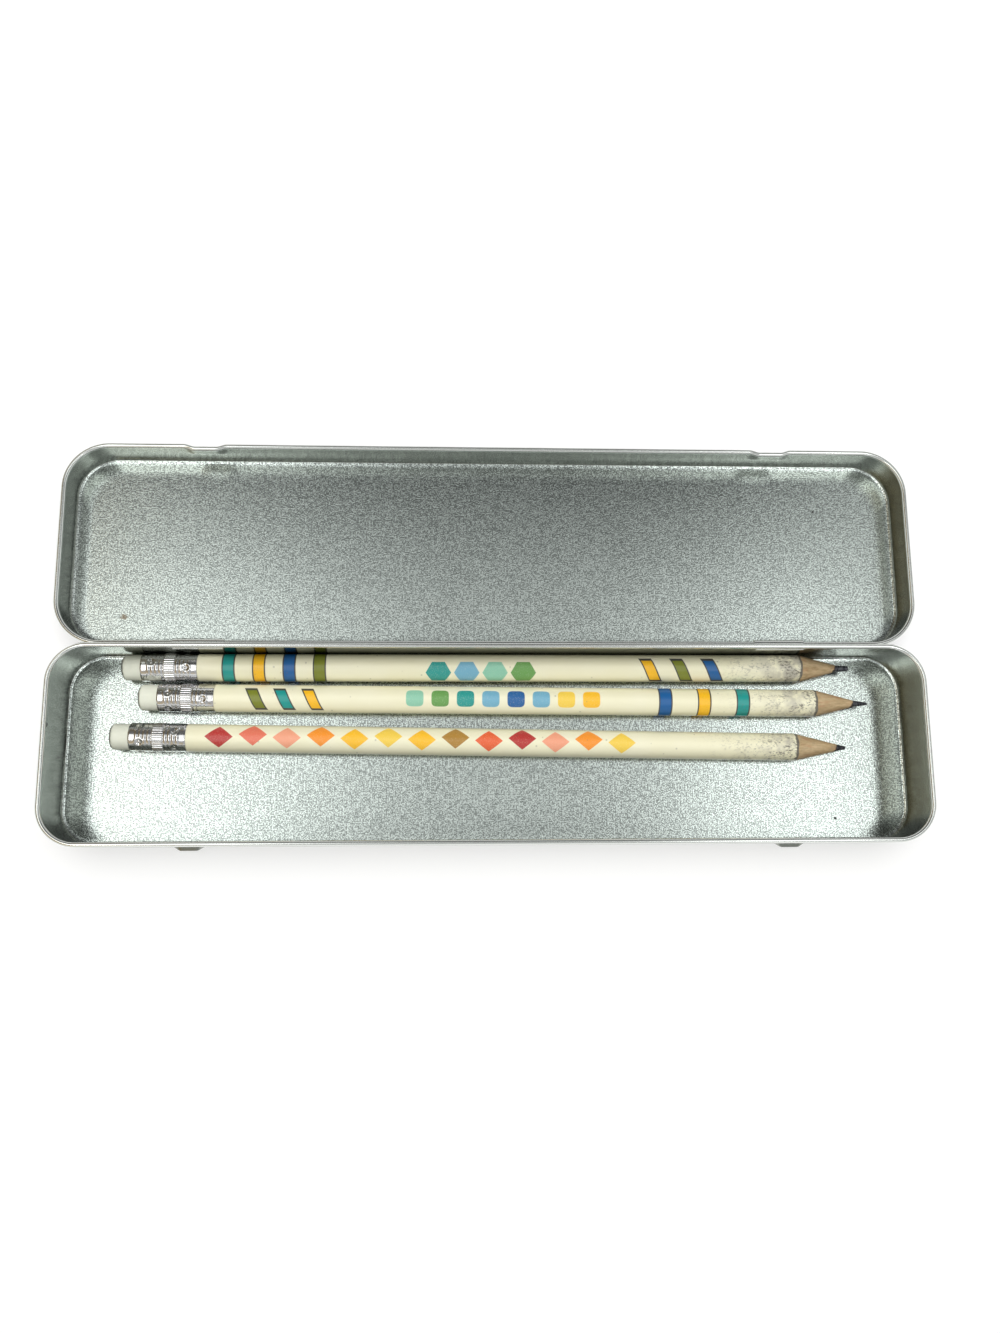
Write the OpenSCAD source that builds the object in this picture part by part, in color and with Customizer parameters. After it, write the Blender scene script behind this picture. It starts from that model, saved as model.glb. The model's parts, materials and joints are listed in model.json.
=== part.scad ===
// Pencil tin with a hinged lid and three round pencils with erasers.
// The lid is drawn open, turned over and lying flat behind the tray.
// Millimetres. The origin is the middle of the tray's underside, +Y runs
// toward the hinge and the lid, +X along the pencils toward their points.

/* [Tray] */
// Outer length of the tray
tray_l = 216; // [205:0.5:260]
// Outer depth of the tray, front wall to hinge wall
tray_d = 49; // [44:0.5:90]
// Height of the tray from its underside to the top of its rolled rim
tray_h = 17.6; // [15:0.1:30]
// Outer corner radius of the tray
corner_r = 9.8; // [6:0.1:16]
// Thickness of the tinplate
sheet = 0.3; // [0.22:0.01:0.36]
// Outer radius of the bend between wall and floor, and wall and lid top
fold_r = 1.0; // [0.7:0.05:1.6]
// Diameter of the rolled rims
bead_d = 1.3; // [1.1:0.05:1.6]

/* [Lid] */
// Gap between the tray's wall and the wall of the closed lid
lid_gap = 0.8; // [0.75:0.05:1.4]
// Gap between the tray's rim and the inside of the closed lid's top
top_gap = 0.3; // [0.15:0.05:1]

/* [Hinge] */
// Distance of each hinge tongue from the middle of the tin
tongue_x = 73.5; // [30:0.5:82]
// Width of a hinge tongue
tongue_w = 12.6; // [6:0.1:16]
// Running clearance between the tongue's curl and the lid's rolled rim
tongue_play = 0.1; // [0.06:0.01:0.15]
// Clearance of the lid's slot at each side of a tongue
slot_side = 0.4; // [0.2:0.05:0.8]
// Angle that the tongue's curl turns through round the lid's rim
curl_turn = 200; // [170:5:215]
// Inner radius of the bend at the tongue's foot
bend_in = 0.3; // [0.15:0.05:0.5]
// Clearance of the window that the tongue is cut from, at each side of it
window_side = 0.05; // [0.02:0.01:0.2]
// Height that the slot runs on past the tongue's curl
slot_room = 1.1; // [0.6:0.1:2]

/* [Catch] */
// Distance of each dent and bump from the middle of the tin
catch_x = 74; // [30:0.5:82]
// Width of a dent in the lid's front rim, with its ramps
dent_w = 11; // [8:0.5:16]
// Depth of a dent
dent_in = 0.65; // [0.3:0.05:0.65]
// Height of a dent above the lid's rim
dent_h = 4; // [2.5:0.5:6]
// Height over which a dent fades out into the wall above it
dent_fade = 2; // [1:0.1:2.4]
// Length of the ramp at each end of a dent
dent_ramp = 2.75; // [1.5:0.05:3.9]
// Width of a bump on the tray's front wall, with its ramps
bump_w = 7.7; // [5:0.1:12]
// Length of the ramp at each end of a bump
bump_ramp = 2; // [1:0.1:2.4]
// Distance that a bump stands out from the wall
bump_out = 0.9; // [0.4:0.05:1.2]
// Height of a bump
bump_h = 3.2; // [2.6:0.1:4.5]
// Height of the slope below a bump's crest
bump_slope = 2.2; // [1:0.1:2.2]
// Height of the ledge on top of a bump
bump_ledge = 0.35; // [0.15:0.05:0.4]
// Gap between a bump and the dented rim that lands on it
bump_gap = 0.15; // [0.1:0.05:0.4]

/* [Pencils] */
// Length of a pencil with its eraser and point
pencil_l = 186.4; // [160:0.1:190]
// Diameter over the printed coat
pencil_d = 7; // [6.6:0.1:7.2]
// Thickness of the printed coat
coat_t = 0.1; // [0.06:0.01:0.2]
// Diameter of the lead
lead_d = 1.8; // [1.6:0.1:2.4]
// Clearance between the parts of a pencil
glue = 0.02; // [0.01:0.01:0.04]
// Clearance between a pencil and the tin that it lies in
lie = 0.1; // [0.05:0.01:0.2]

/* [Ferrule and eraser] */
// Length of the ferrule
ferrule_l = 14; // [12:0.5:16]
// Diameter over the ferrule's ridges
ferrule_d = 7.3; // [7.1:0.05:7.6]
// Thickness of the ferrule's metal under the ridges
ferrule_t = 0.25; // [0.2:0.01:0.3]
// Height of the ferrule's ring ridges and teeth
ridge = 0.12; // [0.06:0.01:0.15]
// Distance from one ring ridge to the next
ring_pitch = 1; // [0.9:0.05:1.4]
// Width of a ring ridge at its foot
ring_w = 0.85; // [0.4:0.05:0.85]
// Plain length at each end of the ferrule
plain_end = 1.4; // [0.8:0.1:2]
// Plain length at each side of the toothed band
band_side = 0.1; // [0.05:0.05:0.5]
// Start of the toothed band from the ferrule's eraser end
band_at = 5.8; // [5:0.1:6.5]
// Width of the toothed band
band_w = 2.7; // [2:0.1:3.5]
// Number of teeth round the band
teeth = 36; // [24:2:56]
// Number of punched dimples in each of the two rows
dimples = 5; // [3:1:6]
// Turn of the second row of dimples against the first, in degrees
dimple_shift = 24; // [0:1:60]
// Distance of each row of dimples from its end of the ferrule
dimple_end = 2.7; // [2.2:0.1:3.5]
// Diameter of a punched dimple
dimple_d = 1.9; // [1.2:0.1:2.4]
// Depth of a punched dimple
dimple_in = 0.18; // [0.08:0.01:0.2]
// Length of eraser outside the ferrule
eraser_out = 4.9; // [3:0.1:8]
// Radius of the eraser's worn edge
eraser_r = 1.1; // [0.5:0.1:2]

/* [Places of the pencils] */
// Distance of the rear pencil's eraser from the tray's end wall
rear_end = 14.5; // [8:0.1:15]
// Distance of the middle pencil's eraser from the tray's end wall
middle_end = 19; // [8:0.1:19]
// Distance of the front pencil's eraser from the tray's end wall
front_end = 12.5; // [8:0.1:15]
// Turn of the rear, middle and front pencil about its own axis, in degrees
roll = [21, 23, 62]; // [0:1:72]
// Gap between the rear and the middle pencil's ferrules
middle_gap = 0.35; // [0.3:0.05:2]
// Gap between the middle and the front pencil's ferrules
front_gap = 2.6; // [0.3:0.05:3]
// Turn of the middle pencil away from the hinge wall, in degrees
middle_turn = 0.5; // [0:0.1:1]
// Turn of the front pencil away from the hinge wall, in degrees
front_turn = 0.98; // [0:0.01:2]

/* [Points] */
// Length of the bare wood cone on the rear pencil
rear_cone = 9.7; // [7:0.1:12]
// Length of bare lead on the rear pencil
rear_lead = 3.6; // [2:0.1:4.5]
// Length of the bare wood cone on the middle pencil
middle_cone = 10.3; // [7:0.1:12]
// Length of bare lead on the middle pencil
middle_lead = 4; // [2:0.1:4.5]
// Length of the bare wood cone on the front pencil
front_cone = 11; // [7:0.1:12]
// Length of bare lead on the front pencil
front_lead = 2.4; // [2:0.1:4.5]
// Radius of the lead's worn tip on the rear, middle and front pencil
tip_r = [0.7, 0.34, 0.46]; // [0.1:0.01:0.75]
// Length over which the worn tips are rounded
tip_nose = 0.25; // [0.1:0.05:0.6]

/* [Hidden] */
round_fn = 32;
fold_steps = 4;
curl_steps = 14;
ramp_steps = 4;
bead_r = bead_d / 2;
// Height of the hinge axis, half the height of the closed tin
hinge_z = (tray_h + top_gap + sheet) / 2;
hinge_y = tray_d / 2 + lid_gap + bead_r;
lid_top = 2 * hinge_z;
// Outer faces of the lid's walls
lid_l = tray_l + 2 * (lid_gap + sheet);
lid_d = tray_d + 2 * (lid_gap + sheet);
lid_r = corner_r + lid_gap + sheet;
// Flat part of floor and top that each wall section carries with it, and
// the part of it that the flat sheet runs under
flat_w = fold_r + 0.8;
flat_lap = 0.4;
// Tongue: middle of its curl and bend, and its foot sunk in the wall's edge
curl_r = bead_r + tongue_play + sheet / 2;
bend_r = bend_in + sheet / 2;
strip_z = hinge_z + curl_r;
wall_mid = tray_d / 2 - sheet / 2;
foot = 0.1;
foot_h = 0.15;
// Window in the tray's wall, as long as the strip that is folded out of it
least_wall = 0.8;
window_bottom = strip_z - bend_r - foot_h;
strip_len = hinge_y - wall_mid + curl_r * curl_turn * PI / 180;
window_top = min(window_bottom + strip_len, tray_h - bead_d - least_wall);
window_mid = (window_bottom + window_top) / 2;
// Slot in the lid's wall, cut down to just above the rolled rim
slot_top = curl_r + sheet / 2 + slot_room;
rim_skin = 0.02;
// Catch
bump_top = hinge_z - bead_r - bump_gap;
bump_low = bump_top - bump_h;
dent_top = hinge_z + dent_h;
// Pencils
coat_r = pencil_d / 2;
wood_r = coat_r - coat_t - glue;
ferrule_r = ferrule_d / 2 - ridge;
bore_r = ferrule_r - ferrule_t;
// Drawn-in edge at each end of the ferrule, and depth of the teeth's roots
edge_in = 0.08;
edge_l = 0.2;
root_in = 0.03;
core_r = bore_r - glue;
lead_r = lead_d / 2;
plug_x = eraser_out + ferrule_l / 2;
barrel_x = eraser_out + ferrule_l;
inner_l = tray_l / 2 - sheet;
lie_z = sheet + ferrule_d / 2 + lie;
rear_y = tray_d / 2 - sheet - ferrule_d / 2 - lie;
middle_y = rear_y - ferrule_d - middle_gap;
front_y = middle_y - ferrule_d - front_gap;
// Each pencil: eraser end, side place, turn, wood cone, bare lead, tip
// radius and roll
REAR = [rear_end, rear_y, 0, rear_cone, rear_lead, tip_r[0], roll[0]];
MIDDLE = [middle_end, middle_y, -middle_turn, middle_cone, middle_lead, tip_r[1], roll[1]];
FRONT = [front_end, front_y, -front_turn, front_cone, front_lead, tip_r[2], roll[2]];

tin_grey = [0.72, 0.73, 0.71];
lid_grey = [0.68, 0.69, 0.68];
cream = [0.93, 0.91, 0.82];
wood_tan = [0.80, 0.66, 0.47];
lead_grey = [0.25, 0.25, 0.27];
chrome_grey = [0.82, 0.82, 0.83];
eraser_white = [0.86, 0.86, 0.80];

// Points on an arc about c from angle a to angle b
function arc(c, r, a, b, n) = [
    for (k = [0:n]) c + r * [cos(a + (b - a) * k / n), sin(a + (b - a) * k / n)]
];

// Wall of the tray as a bent sheet: floor, fold, wall and a rim rolled inward.
// x is measured outward from the corner's centre and zs are extra heights.
function tray_section(r, zs) = concat(
    [[r - flat_w, 0]],
    arc([r - fold_r, fold_r], fold_r, -90, 0, fold_steps),
    [for (z = zs) [r, z]],
    arc([r - bead_r, tray_h - bead_r], bead_r, 0, 285, curl_steps),
    arc([r - bead_r, tray_h - bead_r], bead_r - sheet, 285, 0, curl_steps),
    [for (k = [len(zs) - 1:-1:0]) [r - sheet, zs[k]]],
    arc([r - fold_r, fold_r], fold_r - sheet, 0, -90, fold_steps),
    [[r - flat_w, sheet]]
);

// Wall of the closed lid: top, fold, wall and a rim rolled outward
function lid_section(r, zs) = concat(
    [[r - flat_w, lid_top - sheet]],
    arc([r - fold_r, lid_top - fold_r], fold_r - sheet, 90, 0, fold_steps),
    [for (k = [len(zs) - 1:-1:0]) [r - sheet, zs[k]]],
    arc([r - sheet + bead_r, hinge_z], bead_r, 180, 465, curl_steps),
    arc([r - sheet + bead_r, hinge_z], bead_r - sheet, 465, 180, curl_steps),
    [for (z = zs) [r, z]],
    arc([r - fold_r, lid_top - fold_r], fold_r, 0, 90, fold_steps),
    [[r - flat_w, lid_top]]
);

// Rounded rectangle, inset from the outline of the given length and depth
function rounded(l, d, r, inset) = [
    for (c = [0:3])
        let (sx = (c == 0 || c == 3) ? 1 : -1, sy = c < 2 ? 1 : -1)
        for (k = [0:round_fn / 4])
            let (a = 90 * c + 360 * k / round_fn)
            [sx * (l / 2 - r), sy * (d / 2 - r)] + (r - inset) * [cos(a), sin(a)]
];

// The four corners of a wall section round a rounded rectangle
module corners(l, d, r, section) {
    for (c = [0:3]) {
        sx = (c == 0 || c == 3) ? 1 : -1;
        sy = c < 2 ? 1 : -1;
        translate([sx * (l / 2 - r), sy * (d / 2 - r), 0])
            rotate([0, 0, 90 * c])
                rotate_extrude(angle = 90, $fn = round_fn)
                    polygon(section);
    }
}

// A straight stretch of a wall section, facing the angle turn
module stretch(span, turn, off, section) {
    rotate([0, 0, turn])
        translate([off, 0, 0])
            rotate([90, 0, 0])
                linear_extrude(span, center = true)
                    polygon(section);
}

// A straight stretch of the front wall between two places along its length
module front_stretch(x0, x1, off, section) {
    translate([(x0 + x1) / 2, 0, 0])
        stretch(x1 - x0, -90, off, section);
}

// Rises from 0 to 1 and levels off
function ease(t) = let (u = max(0, min(1, t))) u * u * (3 - 2 * u);

// A stretch of the front wall with a dent or a bump pressed into it
module pressed(x_mid, width, ramp, push, off, section, levels) {
    n = len(section);
    xs = [
        for (k = [0:ramp_steps]) -width / 2 + ramp * k / ramp_steps,
        for (k = [0:ramp_steps]) width / 2 - ramp + ramp * k / ramp_steps
    ];
    m = len(xs);
    points = [
        for (x = xs)
            let (crest = ease((width / 2 - abs(x)) / ramp))
            for (p = section)
                [x_mid + x, -(off + p[0] + push * crest * lookup(p[1], levels)), p[1]]
    ];
    sides = [
        for (k = [0:m - 2])
            for (i = [0:n - 1])
                let (j = (i + 1) % n)
                for (f = [
                    [k * n + i, k * n + j, (k + 1) * n + j],
                    [k * n + i, (k + 1) * n + j, (k + 1) * n + i]
                ]) f
    ];
    last = (m - 1) * n;
    ends = [
        for (i = [0:n / 2 - 2])
            for (f = [
                [n - 1 - i, i + 1, i],
                [n - 1 - i, n - 2 - i, i + 1],
                [last + i, last + i + 1, last + n - 1 - i],
                [last + i + 1, last + n - 2 - i, last + n - 1 - i]
            ]) f
    ];
    polyhedron(points, concat(sides, ends));
}

// The front wall in plain stretches with a pressed stretch at each catch
module catch_wall(l, r, off, width, ramp, push, section, pressed_section, levels) {
    half = l / 2 - r;
    front_stretch(-half, -catch_x - width / 2, off, section);
    front_stretch(-catch_x + width / 2, catch_x - width / 2, off, section);
    front_stretch(catch_x + width / 2, half, off, section);
    for (s = [-1, 1]) {
        pressed(s * catch_x, width, ramp, push, off, pressed_section, levels);
    }
}

// Hinge tongue: folded out of the tray's wall and curled round the lid's rim
module tongue(x_mid) {
    bend = [wall_mid + bend_r, strip_z - bend_r];
    axis = [hinge_y, hinge_z];
    end = 90 - curl_turn;
    section = concat(
        [[wall_mid + sheet / 2, window_bottom - foot]],
        arc(bend, bend_r - sheet / 2, 180, 90, 3),
        arc(axis, curl_r - sheet / 2, 90, end, 12),
        arc(axis, curl_r + sheet / 2, end, 90, 12),
        arc(bend, bend_r + sheet / 2, 90, 180, 3),
        [[wall_mid - sheet / 2, window_bottom - foot]]
    );
    translate([x_mid, 0, 0])
        rotate([90, 0, 90])
            linear_extrude(tongue_w, center = true)
                polygon(section);
}

// Window left in the tray's wall where a tongue is cut and folded out
module window(x_mid) {
    size = [tongue_w + 2 * window_side, 3 * sheet, window_top - window_bottom];
    translate([x_mid, tray_d / 2, window_mid])
        cube(size, center = true);
}

// Drawn tray with the rim rolled inward, two hinge tongues and two bumps
module tray() {
    plain = tray_section(corner_r, []);
    levels = [
        [bump_low, 0], [bump_low + bump_slope / 2, 0.5], [bump_low + bump_slope, 1],
        [bump_top - bump_ledge, 1], [bump_top, 0]
    ];
    heights = [for (level = levels) level[0]];
    off_x = tray_l / 2 - corner_r;
    off_y = tray_d / 2 - corner_r;
    color(tin_grey) {
        linear_extrude(sheet)
            polygon(rounded(tray_l, tray_d, corner_r, flat_w - flat_lap));
        corners(tray_l, tray_d, corner_r, plain);
        for (turn = [0, 180]) {
            stretch(2 * off_y, turn, off_x, plain);
        }
        catch_wall(
            tray_l, corner_r, off_y, bump_w, bump_ramp, bump_out,
            plain, tray_section(corner_r, heights), levels
        );
        difference() {
            stretch(2 * off_x, 90, off_y, plain);
            for (s = [-1, 1]) {
                window(s * tongue_x);
            }
        }
        for (s = [-1, 1]) {
            tongue(s * tongue_x);
        }
    }
}

// Lid closed on the tray
module closed_lid() {
    plain = lid_section(lid_r, []);
    levels = [
        [dent_top - dent_fade, 1], [dent_top - dent_fade / 2, 0.5], [dent_top, 0]
    ];
    heights = [for (level = levels) level[0]];
    off_x = lid_l / 2 - lid_r;
    off_y = lid_d / 2 - lid_r;
    translate([0, 0, lid_top - sheet])
        linear_extrude(sheet)
            polygon(rounded(lid_l, lid_d, lid_r, flat_w - flat_lap));
    corners(lid_l, lid_d, lid_r, plain);
    for (turn = [0, 180]) {
        stretch(2 * off_y, turn, off_x, plain);
    }
    catch_wall(
        lid_l, lid_r, off_y, dent_w, dent_ramp, -dent_in,
        plain, lid_section(lid_r, heights), levels
    );
    difference() {
        stretch(2 * off_x, 90, off_y, plain);
        for (s = [-1, 1]) {
            hinge_slot(s * tongue_x);
        }
    }
}

// Slot in the lid's hinge wall that the tongue's curl passes through
module hinge_slot(x_mid) {
    difference() {
        translate([x_mid, hinge_y - bead_r, hinge_z + slot_top / 2])
            cube([tongue_w + 2 * slot_side, 4 * sheet, slot_top], center = true);
        translate([x_mid, hinge_y, hinge_z])
            rotate([0, 90, 0])
                cylinder(h = 2 * tongue_w, r = bead_r + rim_skin, center = true, $fn = 48);
    }
}

// Lid turned over about the hinge axis, so that its top lies on the table
module lid() {
    color(lid_grey)
        translate([0, hinge_y, hinge_z])
            rotate([180, 0, 0])
                translate([0, -hinge_y, -hinge_z])
                    closed_lid();
}

// Puts a pencil's parts, drawn along +Z from the eraser's end, in the tray
module place(p) {
    translate([-inner_l + p[0], p[1], lie_z])
        rotate([0, 0, p[2]])
            rotate([0, 90, 0])
                children();
}

// Slope of the sharpened cone, and where it starts from the eraser's end
function cone_k(p) = (coat_r - lead_r) / p[3];
function cone_x(p) = pencil_l - p[4] - p[3];

// Half of the wood, with its half groove for the lead and its turned-down end
module slat(p, turn) {
    section = [
        [lead_r, plug_x + glue],
        [core_r, plug_x + glue],
        [core_r, barrel_x],
        [wood_r, barrel_x + glue],
        [wood_r, cone_x(p) + (coat_r - wood_r) / cone_k(p)],
        [lead_r, pencil_l - p[4]]
    ];
    color(wood_tan)
        place(p)
            rotate([0, 0, turn])
                rotate_extrude(angle = 180, $fn = round_fn)
                    polygon(section);
}

// Lead, full width in the wood, sharpened outside it and worn blunt
module lead(p) {
    shank = lead_r - glue;
    nose = [for (q = arc([0, 0], 1, 0, 90, 4)) [p[5] * q[0], pencil_l - tip_nose * (1 - q[1])]];
    section = concat(
        [[0, plug_x + glue], [shank, plug_x + glue], [shank, pencil_l - p[4]]],
        nose
    );
    color(lead_grey)
        place(p)
            rotate_extrude($fn = round_fn)
                polygon(section);
}

// Printed coat, cut back where the sharpener's cone starts
module coat(p) {
    section = [
        [coat_r - coat_t, barrel_x + glue],
        [coat_r, barrel_x + glue],
        [coat_r, cone_x(p)],
        [coat_r - coat_t, cone_x(p) + coat_t / cone_k(p) - glue]
    ];
    color(cream)
        place(p)
            rotate_extrude($fn = 2 * round_fn)
                polygon(section);
}

// Places of evenly spaced ring ridges that fit between two places
function rings(from, to) =
    let (room = to - from - ring_w, last = floor(room / ring_pitch))
    [for (k = [0:last]) (from + to) / 2 + (k - last / 2) * ring_pitch];

// Rounded outline of one ring ridge
function ring_at(z) = [
    for (k = [0:4]) [ferrule_r + ridge * sin(45 * k), z + ring_w * (k / 4 - 0.5)]
];

// Ferrule's tube with its ring ridges
module ferrule_tube() {
    places = concat(
        rings(plain_end, band_at - band_side),
        rings(band_at + band_w + band_side, ferrule_l - plain_end)
    );
    section = concat(
        [[bore_r, 0], [ferrule_r - edge_in, 0], [ferrule_r, edge_l]],
        [for (z = places) for (q = ring_at(z)) q],
        [[ferrule_r, ferrule_l - edge_l], [ferrule_r - edge_in, ferrule_l], [bore_r, ferrule_l]]
    );
    rotate_extrude($fn = round_fn)
        polygon(section);
}

// Toothed band, with its teeth along the pencil
module toothed_band() {
    star = [
        for (k = [0:teeth - 1])
            for (h = [0, 1])
                let (a = 360 * (k + h / 2) / teeth, r = h == 0 ? ferrule_d / 2 : ferrule_r - root_in)
                [r * cos(a), r * sin(a)]
    ];
    translate([0, 0, band_at])
        linear_extrude(band_w)
            difference() {
                polygon(star);
                circle(r = bore_r + ferrule_t / 2, $fn = round_fn);
            }
}

// Metal ferrule, with dimples punched in two rows to hold eraser and wood
module ferrule(p) {
    ball = (dimple_d * dimple_d / 4 + dimple_in * dimple_in) / (2 * dimple_in);
    color(chrome_grey)
        place(p)
            translate([0, 0, eraser_out])
                difference() {
                    union() {
                        ferrule_tube();
                        toothed_band();
                    }
                    for (row = [0, 1]) {
                        z = row == 0 ? dimple_end : ferrule_l - dimple_end;
                        for (k = [0:dimples - 1]) {
                            rotate([0, 0, 360 * k / dimples + row * dimple_shift + p[6]])
                                translate([ferrule_r + ball - dimple_in, 0, z])
                                    sphere(r = ball, $fn = 24);
                        }
                    }
                }
}

// Eraser plug, held by the ferrule, with a worn round edge
module eraser(p) {
    section = concat(
        [[0, 0]],
        arc([core_r - eraser_r, eraser_r], eraser_r, -90, 0, 4),
        [[core_r, plug_x - glue], [0, plug_x - glue]]
    );
    color(eraser_white)
        place(p)
            rotate_extrude($fn = round_fn)
                polygon(section);
}

tray();
lid();
slat(FRONT, 90);  // front_upper_slat
slat(FRONT, -90);  // front_lower_slat
lead(FRONT);  // front_lead
coat(FRONT);  // front_coat
ferrule(FRONT);  // front_ferrule
eraser(FRONT);  // front_eraser
slat(MIDDLE, 90);  // middle_upper_slat
slat(MIDDLE, -90);  // middle_lower_slat
lead(MIDDLE);  // middle_lead
coat(MIDDLE);  // middle_coat
ferrule(MIDDLE);  // middle_ferrule
eraser(MIDDLE);  // middle_eraser
slat(REAR, 90);  // rear_upper_slat
slat(REAR, -90);  // rear_lower_slat
lead(REAR);  // rear_lead
coat(REAR);  // rear_coat
ferrule(REAR);  // rear_ferrule
eraser(REAR);  // rear_eraser
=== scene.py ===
"""Looks of the pencil tin: tinplate shells, printed pencils, rolled ferrules, light and camera."""

import json
import logging
import math
from collections.abc import Callable, Iterator, Sequence
from dataclasses import dataclass
from enum import Enum
from typing import Any, Union

import bpy
from mathutils import Matrix, Vector

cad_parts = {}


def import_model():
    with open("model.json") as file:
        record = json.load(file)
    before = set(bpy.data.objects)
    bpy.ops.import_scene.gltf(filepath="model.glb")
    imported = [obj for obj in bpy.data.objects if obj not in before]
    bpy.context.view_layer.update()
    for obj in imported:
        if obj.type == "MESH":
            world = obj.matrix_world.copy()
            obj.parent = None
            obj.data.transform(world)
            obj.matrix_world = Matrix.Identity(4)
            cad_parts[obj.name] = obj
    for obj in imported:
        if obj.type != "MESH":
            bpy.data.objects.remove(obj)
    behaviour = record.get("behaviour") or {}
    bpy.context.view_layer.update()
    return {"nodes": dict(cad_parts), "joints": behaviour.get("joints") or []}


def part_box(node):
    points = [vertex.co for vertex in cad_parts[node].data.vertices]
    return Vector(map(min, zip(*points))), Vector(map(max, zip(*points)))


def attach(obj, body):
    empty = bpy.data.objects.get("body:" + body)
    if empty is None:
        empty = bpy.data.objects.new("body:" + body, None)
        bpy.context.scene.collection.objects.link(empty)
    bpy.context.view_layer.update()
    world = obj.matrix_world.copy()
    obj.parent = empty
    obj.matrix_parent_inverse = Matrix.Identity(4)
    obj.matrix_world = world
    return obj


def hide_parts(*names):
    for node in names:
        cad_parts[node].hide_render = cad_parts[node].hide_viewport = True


LOG = logging.getLogger("pencil_tin")
MM = 0.001

Colour = tuple[float, float, float]
Spot = tuple[float, float, float]
Point = tuple[float, float]
Span = tuple[float, float]
Number = Union[float, "Field"]


# Node graphs


def math_method(operation: str, swapped: bool = False) -> Callable[..., "Field"]:
    """Makes a method that puts its field, and a second number if there is one, in a Math node."""

    def method(self: "Field", other: Number = 0.0) -> "Field":
        """Returns what the node gives."""
        a, b = (other, self) if swapped else (self, other)
        return self.graph.math(operation, a, b)

    return method


class Field:
    """A number, vector or colour socket that Python expressions can use.

    Each operator, abs() and each method made by math_method adds one Math node.
    """

    def __init__(self, graph: "Graph", socket: bpy.types.NodeSocket) -> None:
        """Keeps the socket and the graph that it belongs to."""
        self.graph = graph
        self.socket = socket

    __add__ = __radd__ = math_method("ADD")
    __sub__ = math_method("SUBTRACT")
    __rsub__ = math_method("SUBTRACT", swapped=True)
    __mul__ = __rmul__ = math_method("MULTIPLY")
    __truediv__ = math_method("DIVIDE")
    __pow__ = math_method("POWER")
    __gt__ = math_method("GREATER_THAN")
    __lt__ = math_method("LESS_THAN")
    __abs__ = math_method("ABSOLUTE")
    least = math_method("MINIMUM")
    most = math_method("MAXIMUM")
    floor = math_method("FLOOR")
    cos = math_method("COSINE")
    sin = math_method("SINE")

    def ramp(self, low: Number, high: Number) -> "Field":
        """Returns 0 up to low, 1 from high, and a smooth step between them."""
        return self.graph.step(self, low, high)

    def fall(self, low: Number, high: Number) -> "Field":
        """Returns 1 up to low, 0 from high, and a smooth step between them."""
        return 1.0 - self.ramp(low, high)

    def gate(self, low: Number, rise: Number, fall: Number, high: Number) -> "Field":
        """Returns 1 between rise and fall, and 0 below low and above high."""
        return self.ramp(low, rise) * self.fall(fall, high)


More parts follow.
